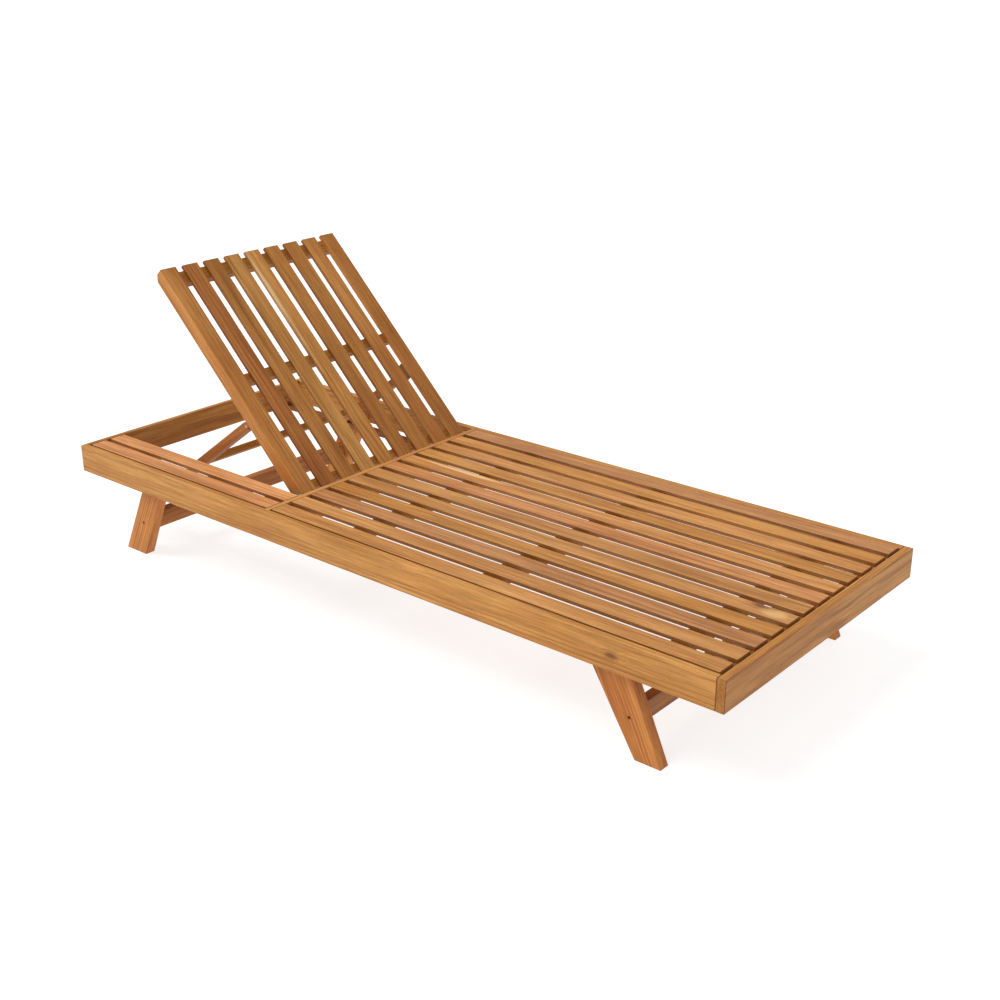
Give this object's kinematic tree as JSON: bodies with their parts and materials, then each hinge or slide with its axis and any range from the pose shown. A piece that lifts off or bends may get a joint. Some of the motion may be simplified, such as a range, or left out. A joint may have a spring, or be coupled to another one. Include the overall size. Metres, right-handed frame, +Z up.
{
  "type": "reclining sun lounger",
  "caption": "Low slatted hardwood sun lounger with splayed legs and a slatted backrest that pivots on a cross bar and is held up by a folding prop frame.",
  "frame": {"origin": "on the floor, under the middle of the rectangular base frame", "axes": "+X along the lounger towards the foot end, +Y across it towards the side with no fixed slats beside the backrest, +Z up"},
  "size_m": [2, 0.79, 0.7439],
  "materials": {
    "frame_wood": "satin, oiled",
    "slat_wood": "satin, oiled",
    "leg_wood": "satin, oiled",
    "back_wood": "satin, oiled",
    "bar_wood": "satin, oiled",
    "steel": "zinc plated, dull"
  },
  "bodies": {
    "base": {"hinge_bar": "bar_wood", "hinge_pins": "steel", "hinge_plate_far": "steel", "hinge_plate_near": "steel", "leg_bolts": "steel", "leg_foot_far": "leg_wood", "leg_foot_near": "leg_wood", "leg_head_far": "leg_wood", "leg_head_near": "leg_wood", "rack_far": "frame_wood", "rack_near": "frame_wood", "rail_foot": "frame_wood", "rail_head": "frame_wood", "rail_side_far": "frame_wood", "rail_side_near": "frame_wood", "seat_batten_1": "frame_wood", "seat_batten_2": "frame_wood", "seat_batten_3": "frame_wood", "seat_batten_4": "frame_wood", "seat_batten_5": "frame_wood", "seat_slat_01": "slat_wood", "seat_slat_02": "slat_wood", "seat_slat_03": "slat_wood", "seat_slat_04": "slat_wood", "seat_slat_05": "slat_wood", "seat_slat_06": "slat_wood", "seat_slat_07": "slat_wood", "seat_slat_08": "slat_wood", "seat_slat_09": "slat_wood", "seat_slat_10": "slat_wood", "seat_slat_11": "slat_wood", "seat_slat_12": "slat_wood", "stretcher_bolts": "steel", "stretcher_foot": "leg_wood", "stretcher_head": "leg_wood", "tray_batten_1": "frame_wood", "tray_batten_2": "frame_wood", "tray_batten_3": "frame_wood", "tray_slat_1": "slat_wood", "tray_slat_2": "slat_wood"},
    "backrest": {"back_rail_bottom": "back_wood", "back_rail_mid": "back_wood", "back_rail_top": "back_wood", "back_slat_1": "back_wood", "back_slat_2": "back_wood", "back_slat_3": "back_wood", "back_slat_4": "back_wood", "back_slat_5": "back_wood", "back_slat_6": "back_wood", "back_slat_7": "back_wood", "back_stile_far": "back_wood", "back_stile_near": "back_wood", "prop_cleat_far": "back_wood", "prop_cleat_near": "back_wood", "prop_pins": "steel"},
    "prop": {"prop_leg_far": "back_wood", "prop_leg_near": "back_wood", "prop_rod": "back_wood"}
  },
  "joints": [
    {"name": "backrest_recline", "type": "hinge", "parent": "base", "child": "backrest", "pos_m": [-0.298, 0.0455, 0.251], "axis": [0, 1, 0], "range_deg": [-45, 9]},
    {"name": "prop_fold", "type": "hinge", "parent": "backrest", "child": "prop", "pos_m": [-0.48963, 0.0455, 0.38959], "axis": [0, 1, 0], "range_deg": [-16.3, 80.9]}
  ],
  "couplings": [
    {"joint": "prop_fold", "follows": "backrest_recline", "ratio": -1.796}
  ]
}
